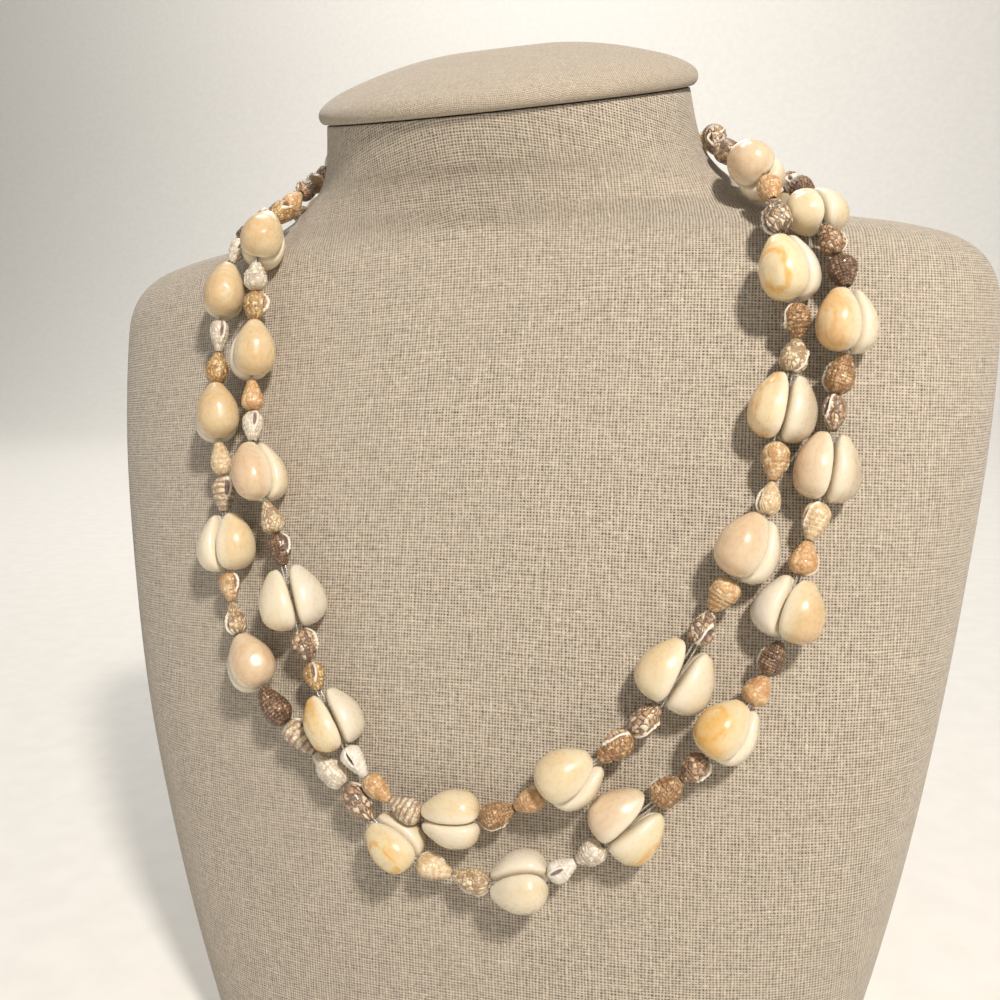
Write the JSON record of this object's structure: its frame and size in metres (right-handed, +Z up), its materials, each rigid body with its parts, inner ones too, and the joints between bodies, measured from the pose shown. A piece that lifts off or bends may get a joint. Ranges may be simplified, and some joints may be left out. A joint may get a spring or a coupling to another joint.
{
  "type": "shell necklace on a neck bust",
  "caption": "Strands of cowrie pairs and small drilled shells on clear line, hung as a necklace on a plain cloth-covered neck bust with a padded cap.",
  "frame": {"origin": "middle of the part's bounding box, on the flat base it stands on", "axes": "+Z up, -Y out of the front of the bust, +X to the right seen from the front"},
  "size_m": [0.29, 0.1561, 0.3267],
  "materials": {
    "bust_cloth": "matt plain-weave linen",
    "cap_cloth": "matt finer weave",
    "clear_line": "clear, smooth",
    "cowrie_shell": "glossy natural shell",
    "small_shell": "satin natural shell"
  },
  "bodies": {
    "root": {"bust_body": "bust_cloth", "neck_cap": "cap_cloth", "inner_thread": "clear_line", "outer_thread": "clear_line", "inner_knot": "clear_line", "outer_knot": "clear_line", "inner_small_shells": "small_shell", "outer_small_shells": "small_shell", "inner_pair_01": "cowrie_shell", "inner_pair_02": "cowrie_shell", "inner_pair_03": "cowrie_shell", "inner_pair_04": "cowrie_shell", "inner_pair_05": "cowrie_shell", "inner_pair_06": "cowrie_shell", "inner_pair_07": "cowrie_shell", "inner_pair_08": "cowrie_shell", "inner_pair_09": "cowrie_shell", "inner_pair_10": "cowrie_shell", "inner_pair_11": "cowrie_shell", "inner_pair_12": "cowrie_shell", "inner_pair_13": "cowrie_shell", "inner_pair_14": "cowrie_shell", "inner_pair_15": "cowrie_shell", "inner_pair_16": "cowrie_shell", "inner_pair_17": "cowrie_shell", "outer_pair_01": "cowrie_shell", "outer_pair_02": "cowrie_shell", "outer_pair_03": "cowrie_shell", "outer_pair_04": "cowrie_shell", "outer_pair_05": "cowrie_shell", "outer_pair_06": "cowrie_shell", "outer_pair_07": "cowrie_shell", "outer_pair_08": "cowrie_shell", "outer_pair_09": "cowrie_shell", "outer_pair_10": "cowrie_shell", "outer_pair_11": "cowrie_shell", "outer_pair_12": "cowrie_shell", "outer_pair_13": "cowrie_shell", "outer_pair_14": "cowrie_shell", "outer_pair_15": "cowrie_shell", "outer_pair_16": "cowrie_shell", "outer_pair_17": "cowrie_shell", "outer_pair_18": "cowrie_shell", "outer_pair_19": "cowrie_shell"}
  },
  "joints": []
}
